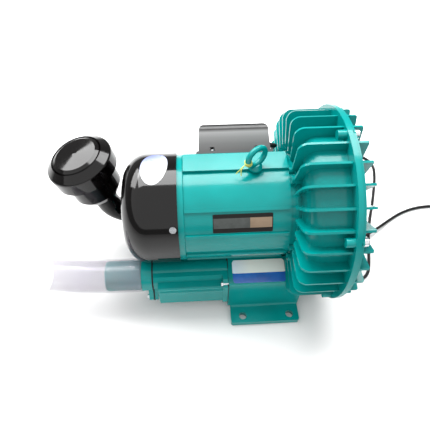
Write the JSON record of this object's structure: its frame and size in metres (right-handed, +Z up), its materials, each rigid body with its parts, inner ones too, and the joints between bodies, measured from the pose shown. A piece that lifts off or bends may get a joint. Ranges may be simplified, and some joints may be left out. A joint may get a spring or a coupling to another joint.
{
  "type": "side channel blower",
  "caption": "Finned regenerative blower driven by a capacitor motor, with foot plates, port silencers, an intake filter, a free outlet hose and a mains lead.",
  "frame": {"origin": "centre of the four foot holes, on the plane the feet stand on", "axes": "+X along the motor shaft from the fan cowl to the finned cover, +Z up, -Y towards the outlet side, which is the front"},
  "size_m": [0.9159, 0.4408, 0.337],
  "materials": {
    "teal_enamel": "gloss teal-green enamel on cast aluminium",
    "black_shell": "gloss black",
    "box_black": "satin black",
    "bright_steel": "zinc-plated",
    "machined_steel": "machined",
    "core_steel": "varnished laminations",
    "copper_winding": "varnished copper wire",
    "cast_aluminium": "as cast",
    "gasket_black": "matt",
    "foam_grey": "open foam",
    "lead_black": "satin",
    "hose_clear": "translucent",
    "paper_filter": "pleated paper",
    "fan_grey": "moulded",
    "can_aluminium": "drawn",
    "terminal_white": "moulded"
  },
  "bodies": {
    "stator": {"rear_housing": "teal_enamel", "outlet_port_block": "teal_enamel", "intake_port_block": "teal_enamel", "eye_bolt": "teal_enamel", "motor_bolts": "teal_enamel", "front_cover": "teal_enamel", "motor_barrel": "teal_enamel", "rear_end_shield": "teal_enamel", "front_end_shield": "teal_enamel", "outlet_silencer": "teal_enamel", "intake_silencer": "teal_enamel", "outlet_flange": "teal_enamel", "intake_flange": "teal_enamel", "fan_cowl": "black_shell", "intake_elbow": "black_shell", "filter_body": "black_shell", "filter_cap": "black_shell", "terminal_box_base": "box_black", "terminal_box_cover": "box_black", "lead_grommet": "box_black", "cover_bolts": "bright_steel", "cover_washers": "bright_steel", "cowl_screws": "bright_steel", "terminal_box_screws": "bright_steel", "outlet_silencer_screws": "bright_steel", "intake_silencer_screws": "bright_steel", "outlet_flange_screws": "bright_steel", "intake_flange_screws": "bright_steel", "front_bearing_outer_ring": "machined_steel", "rear_bearing_outer_ring": "machined_steel", "stator_core": "core_steel", "stator_windings": "copper_winding", "cover_gasket": "gasket_black", "outlet_silencer_gasket": "gasket_black", "intake_silencer_gasket": "gasket_black", "outlet_flange_gasket": "gasket_black", "intake_flange_gasket": "gasket_black", "shaft_seal": "gasket_black", "outlet_silencer_foam": "foam_grey", "intake_silencer_foam": "foam_grey", "mains_lead": "lead_black", "mains_lead_coil": "lead_black", "mains_plug": "lead_black", "outlet_hose": "hose_clear", "filter_element": "paper_filter", "capacitors": "can_aluminium", "terminal_block": "terminal_white"},
    "rotor": {"motor_shaft": "machined_steel", "rotor_core": "core_steel", "impeller": "cast_aluminium", "impeller_key": "machined_steel", "impeller_spacer": "machined_steel", "impeller_washer": "bright_steel", "impeller_nut": "bright_steel", "cooling_fan": "fan_grey", "fan_retaining_ring": "machined_steel", "front_bearing_inner_ring": "machined_steel", "rear_bearing_inner_ring": "machined_steel"},
    "front_ball_set": {"front_bearing_balls": "machined_steel"},
    "rear_ball_set": {"rear_bearing_balls": "machined_steel"}
  },
  "joints": [
    {"name": "rotor_spin", "type": "hinge", "parent": "stator", "child": "rotor", "pos_m": [0, 0, 0.172], "axis": [1, 0, 0], "continuous": true},
    {"name": "front_balls_orbit", "type": "hinge", "parent": "stator", "child": "front_ball_set", "pos_m": [0.0195, 0, 0.172], "axis": [1, 0, 0], "continuous": true},
    {"name": "rear_balls_orbit", "type": "hinge", "parent": "stator", "child": "rear_ball_set", "pos_m": [-0.1205, 0, 0.172], "axis": [1, 0, 0], "continuous": true}
  ],
  "couplings": [
    {"joint": "front_balls_orbit", "follows": "rotor_spin", "ratio": 0.399},
    {"joint": "rear_balls_orbit", "follows": "rotor_spin", "ratio": 0.399}
  ]
}
